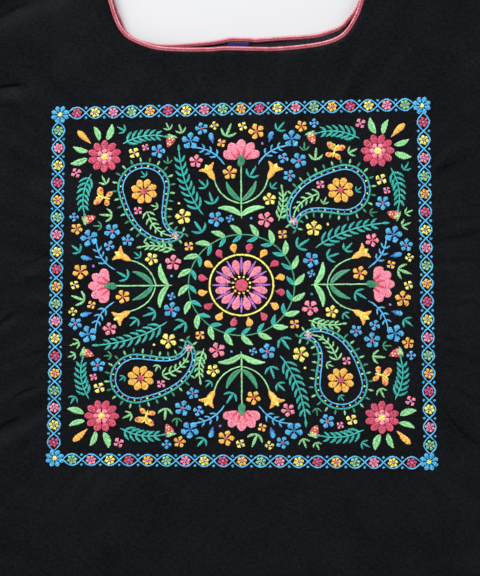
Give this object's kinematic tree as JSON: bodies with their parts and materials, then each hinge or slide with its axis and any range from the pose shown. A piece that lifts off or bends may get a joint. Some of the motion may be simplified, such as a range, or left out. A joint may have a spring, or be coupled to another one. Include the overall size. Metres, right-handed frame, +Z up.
{
  "type": "fabric shopping bag",
  "caption": "Folding shopping bag of thin cloth laid flat, with two integral handles, an open neckline with raised overlocked edging, a tape tab and an embroidered square.",
  "frame": {"origin": "middle of the laid bag's outline, on the surface that its back lies on", "axes": "+X across the bag to the right, +Y from the bottom towards the handles, +Z up out of the front panel"},
  "size_m": [0.48, 0.6602, 0.012],
  "materials": {
    "cloth": "matte plain weave",
    "edging": "overlocked thread",
    "tape": "satin woven tape",
    "embroidery": "glossy embroidery thread in several colours"
  },
  "bodies": {
    "root": {"front_panel": "cloth", "back_panel": "cloth", "front_neck_edging": "edging", "back_neck_edging": "edging", "front_right_handle_edging": "edging", "front_left_handle_edging": "edging", "back_right_handle_edging": "edging", "back_left_handle_edging": "edging", "tape_tab": "tape"}
  },
  "joints": []
}
